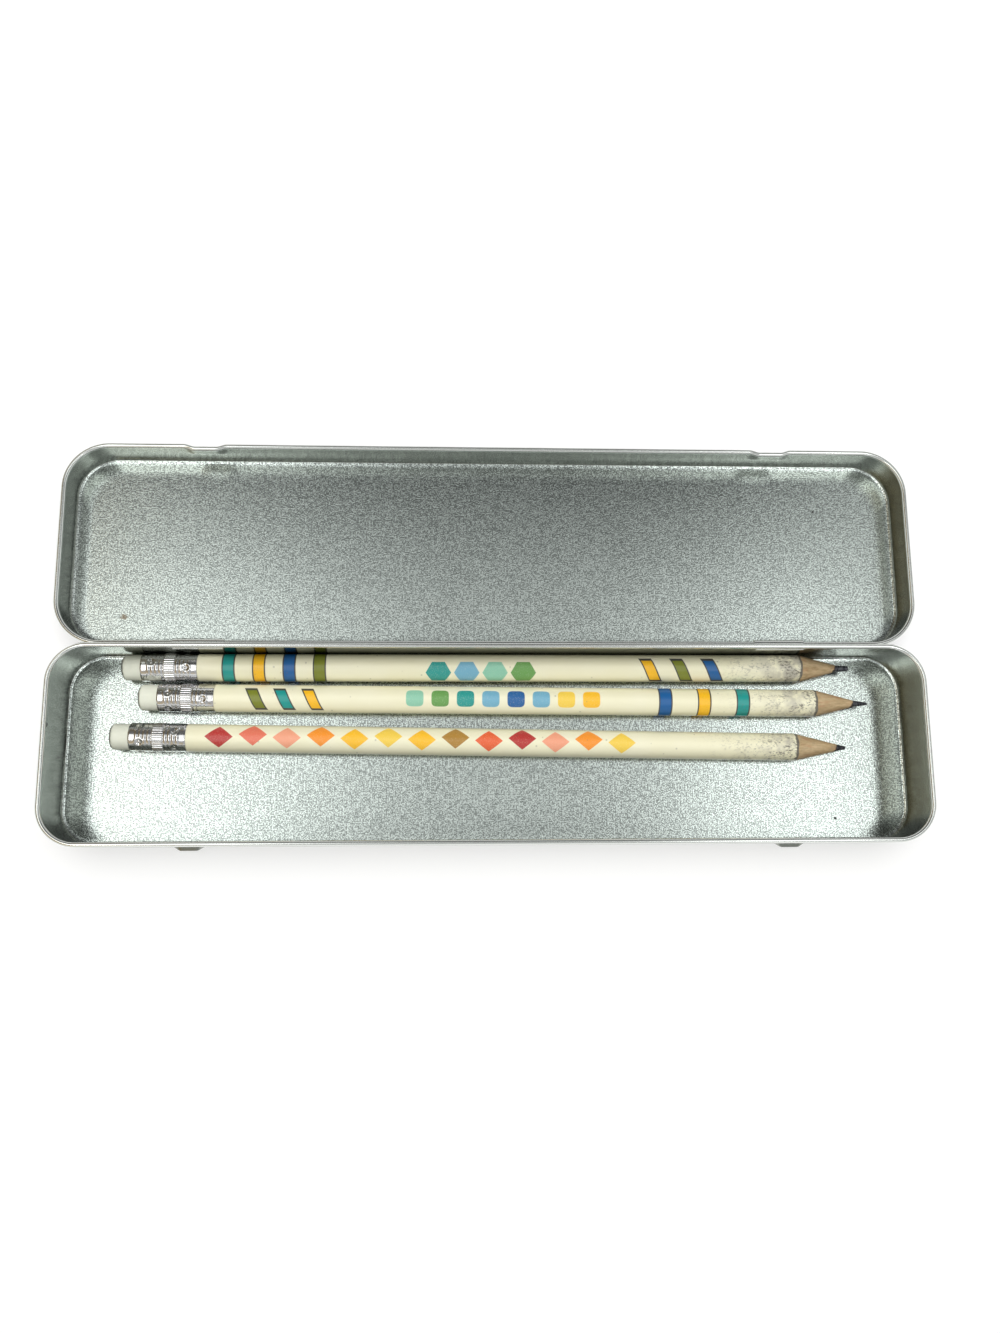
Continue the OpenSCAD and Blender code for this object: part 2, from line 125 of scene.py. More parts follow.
class Graph:
    """A node tree that is filled by calls and expressions."""

    def __init__(self, tree: bpy.types.NodeTree) -> None:
        """Empties the tree and keeps it."""
        self.tree = tree
        tree.nodes.clear()

    def node(self, kind: str, settings: dict[str, Any], inputs: dict[Any, Any]) -> bpy.types.Node:
        """Adds one node.

        Args:
            kind: The node's type.
            settings: Its properties, set before its sockets. A key "stops" fills a colour ramp.
            inputs: Values or links, by socket name or index.

        Returns:
            The new node.
        """
        node = self.tree.nodes.new(kind)
        for name, value in settings.items():
            if name == "stops":
                self._fill_ramp(node.color_ramp, value)
            else:
                setattr(node, name, value)
        for name, value in inputs.items():
            socket = node.inputs[name]
            if isinstance(value, Field):
                self.tree.links.new(value.socket, socket)
            elif isinstance(value, bpy.types.NodeSocket):
                self.tree.links.new(value, socket)
            else:
                socket.default_value = value
        return node

    def _fill_ramp(self, ramp: bpy.types.ColorRamp, stops: Sequence[tuple[float, Colour]]) -> None:
        """Writes places and colours into a colour ramp."""
        while len(ramp.elements) < len(stops):
            ramp.elements.new(1.0)
        for element, (place, colour) in zip(ramp.elements, stops):
            element.position = place
            element.color = (*colour, 1.0)

    def field(
        self, kind: str, settings: dict[str, Any], inputs: dict[Any, Any], out: Union[str, int] = 0
    ) -> Field:
        """Adds one node and returns one of its outputs as a field."""
        return Field(self, self.node(kind, settings, inputs).outputs[out])

    def math(self, operation: str, a: Number, b: Number = 0.0) -> Field:
        """Returns the result of a Math node on one or two numbers."""
        return self.field("ShaderNodeMath", {"operation": operation}, {0: a, 1: b})

    def step(self, value: Number, low: Number, high: Number) -> Field:
        """Returns a smooth step of value from low to high."""
        return self.field(
            "ShaderNodeMapRange",
            {"interpolation_type": "SMOOTHSTEP"},
            {"Value": value, "From Min": low, "From Max": high},
        )

    def vector(self, operation: str, a: Any, b: Any = (0.0, 0.0, 0.0), out: str = "Vector") -> Field:
        """Returns the result of a Vector Math node."""
        return self.field("ShaderNodeVectorMath", {"operation": operation}, {0: a, 1: b}, out)

    def parts(self, vector: Field) -> tuple[Field, Field, Field]:
        """Returns the three numbers of a vector."""
        node = self.node("ShaderNodeSeparateXYZ", {}, {0: vector})
        return tuple(Field(self, socket) for socket in node.outputs)

    def mix(self, factor: Number, a: Any, b: Any) -> Field:
        """Returns colour a where factor is 0 and colour b where it is 1."""
        return self.field(
            "ShaderNodeMix",
            {"data_type": "RGBA", "clamp_factor": True},
            {0: factor, 6: self._rgba(a), 7: self._rgba(b)},
            2,
        )

    def _rgba(self, colour: Any) -> Any:
        """Adds an opaque alpha to a plain colour."""
        return (*colour, 1.0) if isinstance(colour, tuple) else colour

    def noise(
        self, vector: Field, scale: Union[float, Spot], detail: float = 2.0, rough: float = 0.5
    ) -> Field:
        """Returns a noise between 0 and 1, with one scale or one for each direction."""
        if isinstance(scale, tuple):
            vector, scale = self.vector("MULTIPLY", vector, scale), 1.0
        return self.field(
            "ShaderNodeTexNoise",
            {"noise_dimensions": "3D"},
            {"Vector": vector, "Scale": scale, "Detail": detail, "Roughness": rough},
        )

    def spots(self, vector: Field, scale: float) -> tuple[Field, Field]:
        """Returns the distance to the nearest of scattered points, and a random number for each."""
        node = self.node("ShaderNodeTexVoronoi", {"feature": "F1"}, {"Vector": vector, "Scale": scale})
        tint = Field(self, node.outputs["Color"])
        return Field(self, node.outputs["Distance"]), self.parts(tint)[0]

    def bump(self, height: Field, distance: float, strength: float = 1.0) -> Field:
        """Returns a normal that follows a height between 0 and 1."""
        return self.field(
            "ShaderNodeBump", {}, {"Strength": strength, "Distance": distance, "Height": height}
        )


class Shader(Graph):
    """The node tree of one material."""

    def __init__(self, name: str) -> None:
        """Starts an empty material."""
        self.material = bpy.data.materials.new(name)
        self.material.use_nodes = True
        super().__init__(self.material.node_tree)

    def place(self) -> Field:
        """Returns the point in the part's own frame, in metres."""
        return self.field("ShaderNodeTexCoord", {}, {}, "Object")

    def wrap(self) -> tuple[Field, Field]:
        """Returns the distance along a pencil in metres and the turn round it, from the UV map."""
        turn = self.field("ShaderNodeUVMap", {"uv_map": Lathe.UV}, {})
        along, around, _ = self.parts(turn)
        return along * Lathe.UV_LENGTH, around

    def surface(self, **inputs: Any) -> bpy.types.Material:
        """Ends the material in a Principled BSDF.

        Args:
            inputs: The shader's sockets, with underscores for the spaces in their names.

        Returns:
            The finished material.
        """
        named = {name.replace("_", " "): self._rgba(value) for name, value in inputs.items()}
        shader = self.node("ShaderNodeBsdfPrincipled", {}, named)
        self.node("ShaderNodeOutputMaterial", {}, {"Surface": shader.outputs[0]})
        return self.material


# Finishes


@dataclass(frozen=True)
class Stain:
    """A small mark on the tinplate, at a place in the part's frame."""

    place: Spot
    radius: float
    colour: Colour
    strength: float


@dataclass(frozen=True)
class Floor:
    """The outline of a shell's flat floor, and how it rises a little toward its fold."""

    half_x: float
    half_y: float
    corner: float
    middle: float
    width: float = 3.2 * MM
    rise: float = 0.09 * MM
    steepness: float = 4.0
    most: float = 1.2

    def lift(self, x: Field, y: Field) -> Field:
        """Returns the height of the floor's soft edge, in metres."""
        across = abs(x) - (self.half_x - self.corner)
        along = abs(y - self.middle) - (self.half_y - self.corner)
        out, side = across.most(0.0), along.most(0.0)
        inside = self.corner - (out * out + side * side) ** 0.5 - across.most(along).least(0.0)
        share = (1.0 - inside / self.width).most(0.0).least(self.most)
        return share**self.steepness * self.rise


@dataclass(frozen=True)
class Tinplate:
    """Tinplate with a crystal grain on the flat and streaks on the drawn walls, with painted shade on the
    walls and a painted highlight on the rolled rim.
    """

    name: str
    # rim is the height from which the rolled rim takes its bright tone, a painted highlight.
    rim: float
    floor: Floor
    flat_dark: Colour = (0.33, 0.365, 0.345)
    flat_light: Colour = (0.84, 0.92, 0.875)
    # The drawn walls' two streak tones are darker than the same sheet on the floor: painted shade for walls
    # that face away from the light.
    wall: Colour = (0.30, 0.315, 0.285)
    shaded_wall_pale: Colour = (0.365, 0.38, 0.345)
    # The rolled rim's tone is far brighter than the walls of the same sheet: a painted highlight along the
    # rim.
    bead: Colour = (0.80, 0.82, 0.79)
    rough_flat: float = 0.20
    rough_wall: float = 0.21
    rough_bead: float = 0.17
    crystal: float = 0.03 * MM
    lean: float = 0.045
    bend: Span = (0.32 * MM, 0.75 * MM)
    lip: Span = (0.3 * MM, 0.7 * MM)
    fine_scale: Spot = (2600.0, 3200.0, 3200.0)
    coarse_scale: Spot = (1300.0, 1700.0, 1700.0)
    cloud_scale: float = 24.0
    drawn_scale: Spot = (900.0, 900.0, 90.0)
    streak_scale: Spot = (70.0, 70.0, 260.0)
    fine_contrast: float = 5.0
    coarse_contrast: float = 2.6
    cloud_contrast: float = 0.25
    stains: tuple[Stain, ...] = ()

    def material(self) -> bpy.types.Material:
        """Returns the tinplate's material."""
        shader = Shader(self.name)
        place = shader.place()
        x, y, height = shader.parts(place)
        wall = height.ramp(*self.bend)
        bead = height.ramp(self.rim + self.lip[0], self.rim + self.lip[1])
        flat = 1.0 - wall
        fine = shader.noise(place, self.fine_scale, 1.0)
        coarse = shader.noise(place, self.coarse_scale, 2.0, 0.6)
        cloud = shader.noise(place, self.cloud_scale, 2.0)
        grain = (fine - 0.5) * self.fine_contrast + (coarse - 0.5) * self.coarse_contrast
        tone = (grain + (cloud - 0.5) * self.cloud_contrast + 0.5).most(0.0).least(1.0)
        sheet = shader.mix(tone, self.flat_dark, self.flat_light)
        drawn = shader.noise(place, self.drawn_scale, 2.0)
        streaks = shader.noise(place, self.streak_scale, 3.0)
        # The walls' streaks mix between the two darkened wall tones, which is painted shade.
        walls = shader.mix((drawn * 0.4 + streaks * 0.6).ramp(0.3, 0.7), self.wall, self.shaded_wall_pale)
        # Over the rim the colour turns to the bright rim tone, a painted highlight.
        colour = shader.mix(bead, shader.mix(wall, sheet, walls), self.bead)
        rough = wall * (self.rough_wall - self.rough_flat) + self.rough_flat
        rough = rough + bead * (self.rough_bead - self.rough_wall) + (coarse - 0.5) * flat * 0.10
        for stain in self.stains:
            colour, rough = self._mark(shader, place, stain, colour, rough)
        crystals = (fine * 0.6 + coarse * 0.4) * flat + drawn * 0.05 * wall
        relief = crystals * self.crystal + self.floor.lift(x, y) * flat
        relief = relief - height * self.lean * wall
        normal = shader.bump(relief, 1.0)
        return shader.surface(Base_Color=colour, Metallic=1.0, Roughness=rough, Normal=normal)

    def _mark(
        self, shader: Shader, place: Field, stain: Stain, colour: Field, rough: Field
    ) -> tuple[Field, Field]:
        """Lays one small stain over the colour and dulls it."""
        away = shader.vector("DISTANCE", place, stain.place, "Value")
        ragged = away + (shader.noise(place, 1400.0, 3.0) - 0.5) * stain.radius * 1.6
        mask = ragged.fall(stain.radius * 0.5, stain.radius) * stain.strength
        return shader.mix(mask, colour, stain.colour), rough + mask * 0.25


class Motif(Enum):
    """The generic shapes printed on the pencils."""

    TILE = "rounded square"
    LOZENGE = "lozenge"
    HEXAGON = "hexagon"
    SLANT = "slanted bar"
    RING = "ring"


class Ink(Enum):
    """Printing colours."""

    AMBER = (0.95, 0.52, 0.012)
    ORANGE = (0.93, 0.30, 0.015)
    STRAW = (0.90, 0.62, 0.07)
    SALMON = (0.88, 0.36, 0.22)
    CORAL = (0.78, 0.17, 0.10)
    BRICK = (0.47, 0.022, 0.022)
    VERMILION = (0.80, 0.12, 0.030)
    OCHRE = (0.42, 0.22, 0.03)
    SKY = (0.16, 0.42, 0.58)
    BLUE = (0.006, 0.11, 0.34)
    TEAL = (0.008, 0.31, 0.28)
    OLIVE = (0.20, 0.23, 0.02)
    LEAF = (0.13, 0.34, 0.08)
    MINT = (0.26, 0.58, 0.42)


@dataclass(frozen=True)
class Row:
    """A row of one printed shape along a pencil, lengths in metres, turns from its underside."""

    motif: Motif
    start: float
    pitch: float
    inks: tuple[Ink, ...]
    half_length: float
    half_width: float = 1.0
    turn: float = 0.5
    zigzag: float = 0.0
    edge: float = 0.0


@dataclass(frozen=True)
class PrintedCoat:
    """Cream lacquer with printed rows, scuffed near the sharpened end."""

    name: str
    rows: tuple[Row, ...]
    radius: float
    start: float
    cut: float
    soiled: float = 30 * MM
    ground: Colour = (0.86, 0.83, 0.60)
    pale: Colour = (0.89, 0.87, 0.69)
    black: Colour = (0.014, 0.015, 0.018)
    worn: Colour = (0.44, 0.42, 0.35)
    dirt: Colour = (0.10, 0.09, 0.075)
    slant: float = 0.45
    soft: float = 0.06 * MM

    def material(self) -> bpy.types.Material:
        """Returns the coat's material."""
        shader = Shader(self.name)
        place = shader.place()
        along, around = shader.wrap()
        cloud = shader.noise(place, 90.0, 3.0)
        colour = shader.mix(cloud.ramp(0.3, 0.8) * 0.5, self.ground, self.pale)
        screen = shader.noise(place, 4200.0, 1.0)
        for row in self.rows:
            colour = self._print_row(shader, along, around, screen, row, colour)
        near = along.ramp(self.cut - self.soiled * 0.6, self.cut - 1.0 * MM)
        rubbed = shader.noise(place, 190.0, 4.0, 0.6).ramp(0.40, 0.64) * near * 0.95
        colour = shader.mix(rubbed, colour, self.worn)
        dust = self._dust(shader, place, along)
        colour = shader.mix(dust, colour, self.dirt)
        colour = shader.mix(self._ends(shader, place, along), colour, self.dirt)
        rough = shader.noise(place, 700.0, 2.0) * 0.12 + dust * 0.2 + 0.26
        return shader.surface(
            Base_Color=colour,
            Roughness=rough,
            Normal=shader.bump(shader.noise(place, 500.0, 2.0), 0.00002, 0.35),
            Coat_Weight=0.3,
            Coat_Roughness=0.16,
        )

    def _print_row(
        self, shader: Shader, along: Field, around: Field, screen: Field, row: Row, under: Field
    ) -> Field:
        """Prints one row of shapes over the colour below it."""
        count = len(row.inks)
        steps = (along - row.start) / row.pitch
        index = steps.floor()
        x = (steps - index - 0.5) * row.pitch
        odd = index - (index / 2.0).floor() * 2.0
        y = (around - row.turn) * (2.0 * math.pi * self.radius) - (odd * 2.0 - 1.0) * row.zigzag
        reach = self._reach(row, x, y)
        inside = (steps > 0.0) * (steps < float(count))
        fill = reach.fall(row.half_length - self.soft, row.half_length + self.soft) * inside
        stops = [(k / count, ink.value) for k, ink in enumerate(row.inks)]
        place = (index + 0.5) / float(count)
        ramp = shader.node("ShaderNodeValToRGB", {"stops": stops}, {"Fac": place})
        ramp.color_ramp.interpolation = "CONSTANT"
        solid = screen.ramp(0.28, 0.44) * 0.14 + 0.84
        if row.edge > 0.0:
            outer = row.half_length + row.edge
            line = reach.fall(outer - self.soft, outer + self.soft) * inside
            under = shader.mix(line * 0.95, under, self.black)
        return shader.mix(fill * solid, under, Field(shader, ramp.outputs["Color"]))

    def _reach(self, row: Row, x: Field, y: Field) -> Field:
        """Returns how far a point lies from a shape's middle, scaled to its half length."""
        tall = abs(y) * (row.half_length / row.half_width)
        if row.motif is Motif.RING:
            return abs(x)
        if row.motif is Motif.SLANT:
            return abs(x + y * self.slant).most(tall)
        if row.motif is Motif.LOZENGE:
            return abs(x) + tall
        if row.motif is Motif.HEXAGON:
            return (abs(x) * 0.866 + tall * 0.5).most(tall)
        return (x**4.0 + tall**4.0) ** 0.25

    def _dust(self, shader: Shader, place: Field, along: Field) -> Field:
        """Returns where graphite dust, scuffs and small specks darken the coat."""
        far = along.ramp(self.cut - self.soiled, self.cut - self.soiled * 0.25)
        near = along.ramp(self.cut - self.soiled * 0.4, self.cut)
        fine = shader.noise(place, (1200.0, 2100.0, 2100.0), 4.0, 0.7)
        patch = shader.noise(place, 330.0, 3.0, 0.6)
        scuffs = fine.ramp(0.48, 0.62) * patch.ramp(0.40, 0.56) * (far * 0.5 + near * 0.5)
        away, chance = shader.spots(place, 620.0)
        specks = away.fall(0.08, 0.22) * (chance > 0.86) * 0.35
        return (scuffs + specks).least(0.85)

    def _ends(self, shader: Shader, place: Field, along: Field) -> Field:
        """Returns the dark ragged line at the cut and the thin one at the ferrule."""
        broken = shader.noise(place, 1500.0, 2.0)
        back = broken * 1.4 * MM
        cut = (along + back).ramp(self.cut + 0.20 * MM, self.cut + 0.45 * MM)
        ferrule = along.fall(self.start + 0.05 * MM, self.start + 0.22 * MM)
        return (cut * 0.88 + ferrule * 0.45).least(0.9)


@dataclass(frozen=True)
class Cedar:
    """Bare sharpened wood with its grain along the pencil, blackened where the lead comes out."""

    name: str
    tip: Spot
    pale: Colour = (0.59, 0.45, 0.265)
    deep: Colour = (0.36, 0.245, 0.12)
    red: Colour = (0.49, 0.24, 0.13)
    grey: Colour = (0.13, 0.115, 0.095)
    black: Colour = (0.018, 0.018, 0.020)

    def material(self) -> bpy.types.Material:
        """Returns the wood's material."""
        shader = Shader(self.name)
        place = shader.place()
        fibres = shader.noise(place, (160.0, 2600.0, 2600.0), 3.0, 0.6)
        rings = shader.noise(place, (40.0, 700.0, 700.0), 2.0)
        tone = (fibres.ramp(0.35, 0.7) * 0.5 + rings.ramp(0.40, 0.65) * 0.45).least(1.0)
        colour = shader.mix(tone, self.pale, self.deep)
        flush = shader.noise(place, (90.0, 800.0, 800.0), 2.0)
        colour = shader.mix(flush.ramp(0.50, 0.72) * 0.5, colour, self.red)
        x, y, _ = shader.parts(place)
        back = self.tip[0] - x
        soil = shader.noise(place, 900.0, 3.0).ramp(0.50, 0.75)
        soil = soil * (0.18 + back.fall(0.2 * MM, 3.5 * MM) * 0.35)
        colour = shader.mix(soil, colour, self.grey)
        ragged = shader.noise(place, (500.0, 1600.0, 1600.0), 2.0)
        edge = back + (y - self.tip[1]) * 0.55 + (ragged - 0.5) * 1.3 * MM
        colour = shader.mix(edge.fall(0.12 * MM, 0.40 * MM) * 0.95, colour, self.black)
        return shader.surface(
            Base_Color=colour,
            Roughness=fibres * 0.2 + 0.5,
            Normal=shader.bump(fibres, 0.00004, 0.7),
        )


@dataclass(frozen=True)
class Graphite:
    """Sharpened lead with a dark metallic sheen."""

    name: str = "sharpened lead"
    base: Colour = (0.045, 0.047, 0.055)
    worn: Colour = (0.15, 0.155, 0.17)

    def material(self) -> bpy.types.Material:
        """Returns the lead's material."""
        shader = Shader(self.name)
        place = shader.place()
        turned = shader.noise(place, (3600.0, 700.0, 700.0), 2.0)
        return shader.surface(
            Base_Color=shader.mix(turned.ramp(0.35, 0.75), self.base, self.worn),
            Metallic=0.6,
            Roughness=turned * 0.16 + 0.20,
            Normal=shader.bump(turned, 0.00002, 0.6),
        )


@dataclass(frozen=True)
class RolledMetal:
    """Bright ferrule metal, a little tarnished and scratched."""

    name: str = "ferrule metal"
    base: Colour = (0.76, 0.76, 0.765)
    tarnished: Colour = (0.48, 0.46, 0.42)

    def material(self) -> bpy.types.Material:
        """Returns the ferrule's material."""
        shader = Shader(self.name)
        place = shader.place()
        tarnish = shader.noise(place, 600.0, 3.0).ramp(0.52, 0.8) * 0.45
        scratch = shader.noise(place, (500.0, 3800.0, 3800.0), 2.0)
        return shader.surface(
            Base_Color=shader.mix(tarnish, self.base, self.tarnished),
            Metallic=1.0,
            Roughness=scratch * 0.10 + tarnish * 0.10 + 0.10,
            Normal=shader.bump(scratch, 0.000006, 0.4),
        )


@dataclass(frozen=True)
class EraserRubber:
    """Off-white eraser rubber, soiled round its worn end."""

    name: str = "eraser rubber"
    base: Colour = (0.82, 0.84, 0.72)
    shaded: Colour = (0.70, 0.72, 0.61)
    soil: Colour = (0.07, 0.07, 0.06)

    def material(self) -> bpy.types.Material:
        """Returns the eraser's material."""
        shader = Shader(self.name)
        place = shader.place()
        along, _ = shader.wrap()
        cloud = shader.noise(place, 350.0, 3.0)
        colour = shader.mix(cloud.ramp(0.35, 0.75) * 0.5, self.base, self.shaded)
        rubbed = shader.noise(place, 900.0, 3.0)
        end = (along - rubbed * 0.5 * MM).fall(0.05 * MM, 0.65 * MM)
        colour = shader.mix(end * 0.88, colour, self.soil)
        return shader.surface(
            Base_Color=colour,
            Roughness=0.55,
            Normal=shader.bump(shader.noise(place, 2200.0, 2.0), 0.00002, 0.5),
        )


# Mesh making


def arc(centre: Point, radius: float, start: float, end: float, steps: int) -> list[Point]:
    """Returns points on an arc, with its angles in degrees."""
    turns = [math.radians(start + (end - start) * k / steps) for k in range(steps + 1)]
    return [(centre[0] + radius * math.cos(a), centre[1] + radius * math.sin(a)) for a in turns]


def new_piece(
    name: str, points: Sequence[Sequence[float]], faces: Sequence[Sequence[int]]
) -> bpy.types.Object:
    """Makes a mesh object at the origin and links it to the scene."""
    mesh = bpy.data.meshes.new(name)
    mesh.from_pydata([tuple(point) for point in points], [], [tuple(face) for face in faces])
    piece = bpy.data.objects.new(name, mesh)
    bpy.context.scene.collection.objects.link(piece)
    return piece


def settle(piece: bpy.types.Object) -> None:
    """Turns what a piece's modifiers give into its plain mesh and removes them."""
    graph = bpy.context.evaluated_depsgraph_get()
    made = bpy.data.meshes.new_from_object(piece.evaluated_get(graph), depsgraph=graph)
    piece.modifiers.clear()
    piece.data = made


def own(piece: bpy.types.Object, body: str, node: str = "") -> None:
    """Lets a piece ride on a body and stand for one of the CAD nodes, which it hides."""
    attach(piece, body)
    if node:
        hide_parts(node)


def ease(share: float) -> float:
    """Returns a smooth step from 0 at a share of 0 to 1 at 1."""
    share = max(0.0, min(1.0, share))
    return share * share * (3 - 2 * share)


def shade(piece: bpy.types.Object, material: bpy.types.Material, edge: float = 35.0) -> None:
    """Gives a piece one material and smooth shading with sharp edges above an angle."""
    mesh = piece.data
    mesh.materials.clear()
    mesh.materials.append(material)
    mesh.polygons.foreach_set("use_smooth", [True] * len(mesh.polygons))
    mesh.set_sharp_from_angle(angle=math.radians(edge))


@dataclass
class Lathe:
    """A closed outline turned round a pencil's axis, with a UV map along and round it."""

    outline: Sequence[Point]
    matrix: Matrix
    segments: int = 96
    wobble: Callable[[int, float], float] = lambda index, turn: 0.0

    UV = "wrap"
    UV_LENGTH = 0.2

    def piece(self, name: str) -> bpy.types.Object:
        """Returns the turned object.

        Args:
            name: The object's name.

        Returns:
            A closed mesh whose outline runs from pole to pole, or round a tube.
        """
        count = len(self.outline)
        poles = {k for k, (_, radius) in enumerate(self.outline) if radius == 0.0}
        rings: list[list[int]] = []
        points: list[Vector] = []
        for k, (along, radius) in enumerate(self.outline):
            ring = []
            for s in range(1 if k in poles else self.segments):
                angle = 2.0 * math.pi * s / self.segments
                shift = self.wobble(k, angle)
                spot = Vector((along + shift, -radius * math.sin(angle), -radius * math.cos(angle)))
                ring.append(len(points))
                points.append(self.matrix @ spot)
            rings.append(ring)
        faces: list[list[int]] = []
        wrap: list[float] = []
        for a in range(count - 1 if poles else count):
            b = (a + 1) % count
            low, high = ((rings[k], self.outline[k][0] / self.UV_LENGTH) for k in (a, b))
            for corners in self._band(low, high):
                faces.append([corner[0] for corner in corners])
                wrap += [value for corner in corners for value in corner[1:]]
        made = new_piece(name, points, faces)
        made.data.uv_layers.new(name=self.UV).data.foreach_set("uv", wrap)
        return made

    def _band(
        self, low: tuple[list[int], float], high: tuple[list[int], float]
    ) -> Iterator[list[tuple[int, float, float]]]:
        """Gives the faces between two rings, either of which may be a pole.

        Args:
            low: The first ring's points and its place along the map.
            high: The second ring's.

        Yields:
            The corners of one face, each a point and its place in the map.
        """
        n = self.segments
        for s in range(n):
            t = (s + 1) % n
            first, last = s / n, (s + 1) / n
            corners = []
            for (ring, u), k, v in ((low, s, first), (high, s, first), (high, t, last), (low, t, last)):
                if len(ring) > 1:
                    corners.append((ring[k], u, v))
                elif k == s:
                    corners.append((ring[0], u, (first + last) / 2))
            yield corners


# The tin


@dataclass
class Shell:
    """A drawn tinplate shell: one bent-sheet section swept round a rounded rectangle.

    The hinge is the place of its axis, across and up.
    """

    hinge: Point
    length: float
    depth: float
    corner: float
    sheet: float = 0.30 * MM
    fold: float = 1.0 * MM
    bead: float = 0.65 * MM
    catch_at: float = 74.0 * MM
    catch_width: float = 11.0 * MM
    catch_ramp: float = 2.75 * MM
    catch_push: float = 0.0
    floor_lap: float = 0.8 * MM
    cut_at: float = 73.5 * MM
    corner_steps: int = 20
    fold_steps: int = 8
    curl_steps: int = 30
    catch_steps: int = 24

    def section(self) -> list[Point]:
        """Returns the section, measured outward from the corner's centre and up."""
        raise NotImplementedError

    def band(self, height: float) -> float:
        """Returns how far a catch reaches at a height, from 0 to 1."""
        raise NotImplementedError

    def stations(self) -> list[tuple[float, float, float, float]]:
        """Returns places and outward directions round the outline, anticlockwise from above."""
        half_x, half_y = self.length / 2 - self.corner, self.depth / 2 - self.corner
        around = []
        for c, (sx, sy) in enumerate(((1, 1), (-1, 1), (-1, -1), (1, -1))):
            for k in range(self.corner_steps + 1):
                angle = math.radians(90.0 * (c + k / self.corner_steps))
                around.append((sx * half_x, sy * half_y, math.cos(angle), math.sin(angle)))
            if c == 2:
                around += [(x, -half_y, 0.0, -1.0) for x in self._catch_places()]
        return around

    def _catch_places(self) -> list[float]:
        """Returns the places along the front wall where a dent or bump needs a station."""
        steps = self.catch_steps
        spread = [self.catch_width * (k / steps - 0.5) for k in range(steps + 1)]
        return [side * self.catch_at + off for side in (-1, 1) for off in spread]

    def push(self, x: float, height: float, facing: float) -> float:
        """Returns how far the front wall is pressed outward at a place."""
        if facing > -0.999:
            return 0.0
        near = (self.catch_width / 2 - abs(abs(x) - self.catch_at)) / self.catch_ramp
        return self.catch_push * ease(near) * self.band(height)

    def floor(self, middle: float = 0.0) -> Floor:
        """Returns the outline of the flat floor, with its middle at a place across the tin."""
        half_x, half_y = self.length / 2 - self.fold, self.depth / 2 - self.fold
        return Floor(half_x, half_y, self.corner - self.fold, middle)

    def sweep(self, name: str) -> bpy.types.Object:
        """Returns the swept shell, closed by its flat floor on both sides of the sheet."""
        section = self.section()
        around = self.stations()
        rows, count = len(around), len(section)
        points = []
        for cx, cy, nx, ny in around:
            for out, up in section:
                reach = out + self.push(cx, up, ny)
                points.append((cx + nx * reach, cy + ny * reach, up))
        faces: list[list[int]] = []
        for s in range(rows):
            t = (s + 1) % rows
            for p in range(count - 1):
                faces.append([s * count + p, t * count + p, t * count + p + 1, s * count + p + 1])
        faces.append([s * count for s in reversed(range(rows))])
        faces.append([s * count + count - 1 for s in range(rows)])
        return new_piece(name, points, faces)

    def cut(self, piece: bpy.types.Object, width: float, across: Span, up: Span) -> None:
        """Cuts the same opening through the hinge wall on both sides of its middle.

        Args:
            piece: The shell.
            width: The opening's width.
            across: Where the opening starts and ends across the tin.
            up: Where it starts and ends in height.
        """
        order = ((0, 1, 3, 2), (4, 6, 7, 5), (0, 4, 5, 1), (2, 3, 7, 6), (0, 2, 6, 4), (1, 5, 7, 3))
        points: list[Spot] = []
        faces: list[list[int]] = []
        for middle in (-self.cut_at, self.cut_at):
            faces += [[len(points) + k for k in face] for face in order]
            sides = (middle - width / 2, middle + width / 2)
            points += [(x, y, z) for x in sides for y in across for z in up]
        cutter = new_piece("cutter", points, faces)
        modifier = piece.modifiers.new("cut", "BOOLEAN")
        modifier.operation = "DIFFERENCE"
        modifier.solver = "EXACT"
        modifier.object = cutter
        settle(piece)
        bpy.data.objects.remove(cutter)


